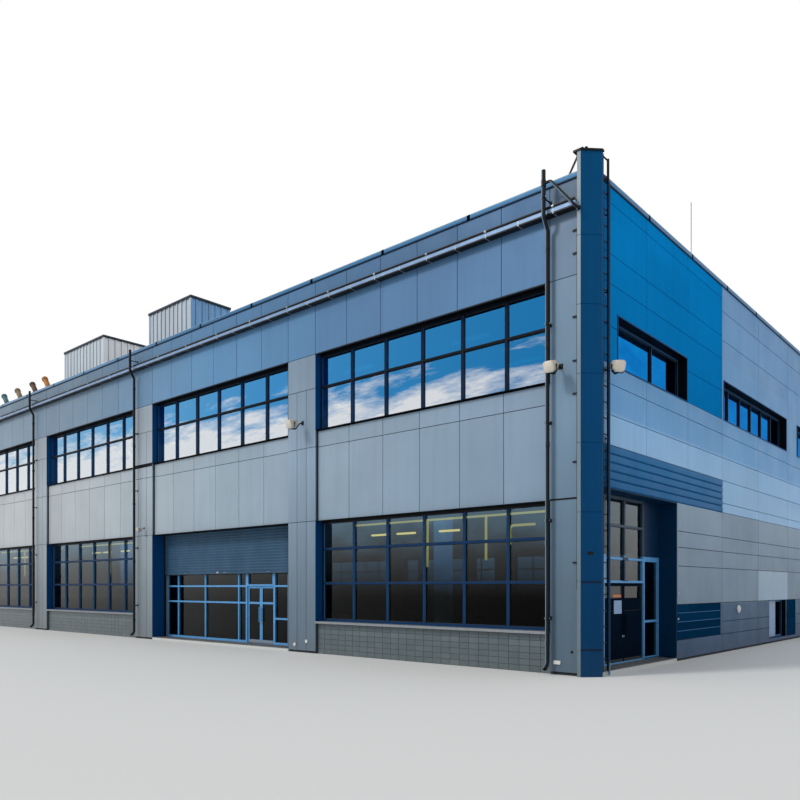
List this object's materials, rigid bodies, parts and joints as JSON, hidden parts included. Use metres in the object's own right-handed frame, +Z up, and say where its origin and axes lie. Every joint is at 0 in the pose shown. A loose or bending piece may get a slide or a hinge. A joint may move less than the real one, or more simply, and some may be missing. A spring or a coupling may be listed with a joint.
{
  "type": "two-storey factory building",
  "caption": "Two-storey factory building with cassette cladding, ribbon windows, a roller shutter over a glazed entrance, a recessed side entrance, a corner pier and a box gutter.",
  "frame": {"origin": "centre of the footprint at ground level, on the underside of the ground slab", "axes": "+X along the front towards the corner pier, the front faces -Y, +Z up"},
  "size_m": [39.557, 27.062, 14.8],
  "materials": {
    "concrete_floor": "power-floated concrete",
    "inner_lining": "white inner lining",
    "tile_dado": "dark glazed wall tiles",
    "galvanised_sheet": "folded galvanised sheet",
    "front_cladding": "blue-grey coated cassette",
    "band_cladding": "steel-blue coated cassette",
    "coping_metal": "blue coated coping",
    "gutter_metal": "coated gutter sheet",
    "black_metal": "black coated steel",
    "pier_metal": "dark blue coated sheet",
    "pale_cladding": "pale coated sheet",
    "blue_cladding": "bright blue coated sheet",
    "siding_metal": "blue profiled siding",
    "navy_metal": "navy coated sheet",
    "ground_frame": "blue-black window profile",
    "upper_frame": "black window profile",
    "ground_glass": "tinted insulating glass",
    "upper_glass": "blue solar glass",
    "shutter_metal": "roller shutter slats",
    "entrance_frame": "light blue door profile",
    "entrance_glass": "clear insulating glass",
    "dark_leaf": "dark door leaf",
    "lamp_body": "cream lamp housing",
    "lamp_white": "white light strip",
    "housing_metal": "ribbed grey sheet",
    "cowl_metal": "weathered coated cowl",
    "rod_metal": "plain rod"
  },
  "bodies": {
    "building": {"ground_slab": "concrete_floor", "upper_floor": "concrete_floor", "roof_deck": "concrete_floor", "inner_columns": "inner_lining", "pilasters": "inner_lining", "dado_walls": "tile_dado", "window_sills": "galvanised_sheet", "facade_walls": "inner_lining", "parapet_coping": "coping_metal", "pilaster_cassettes": "front_cladding", "spandrel_cassettes": "front_cladding", "top_band_cassettes": "band_cladding", "eaves_gutter": "gutter_metal", "downpipes": "black_metal", "corner_pier": "pier_metal", "pier_cap_and_brace": "black_metal", "wall_conduits": "galvanised_sheet", "access_ladder": "black_metal", "side_walls": "inner_lining", "side_wall_bands": "inner_lining", "side_wall_infill": "inner_lining", "blue_side_panels": "blue_cladding", "pale_side_panels": "pale_cladding", "siding_band": "siding_metal", "navy_side_panels": "navy_metal", "ground_window_frames": "ground_frame", "ground_window_glass": "ground_glass", "upper_window_frames": "upper_frame", "upper_window_glass": "upper_glass", "window_linings": "navy_metal", "shutter_curtain": "shutter_metal", "shutter_housing": "shutter_metal", "entrance_screens": "entrance_frame", "entrance_headers": "entrance_frame", "entrance_glass": "entrance_glass", "recess_lining": "navy_metal", "wall_lamps": "lamp_body", "ceiling_lights": "lamp_white", "roof_housings": "housing_metal", "exhaust_cowls": "cowl_metal", "lightning_rod": "rod_metal"},
    "front_door_left": {"front_leaf_left": "entrance_frame", "front_glass_left": "entrance_glass"},
    "front_door_right": {"front_leaf_right": "entrance_frame", "front_glass_right": "entrance_glass"},
    "side_door_near": {"side_leaf_near": "dark_leaf", "side_glass_near": "entrance_glass"},
    "side_door_far": {"side_leaf_far": "dark_leaf", "side_glass_far": "entrance_glass"}
  },
  "joints": [
    {"name": "front_left_hinge", "type": "hinge", "parent": "building", "child": "front_door_left", "pos_m": [5.86, -12.444, 1.1], "axis": [0, 0, 1], "range_deg": [0, 90]},
    {"name": "front_right_hinge", "type": "hinge", "parent": "building", "child": "front_door_right", "pos_m": [7.33, -12.444, 1.1], "axis": [0, 0, -1], "range_deg": [0, 90]},
    {"name": "side_near_hinge", "type": "hinge", "parent": "building", "child": "side_door_near", "pos_m": [18.834, -11.59, 1.1], "axis": [0, 0, 1], "range_deg": [0, 90]},
    {"name": "side_far_hinge", "type": "hinge", "parent": "building", "child": "side_door_far", "pos_m": [18.834, -9.29, 1.1], "axis": [0, 0, -1], "range_deg": [0, 90]}
  ]
}
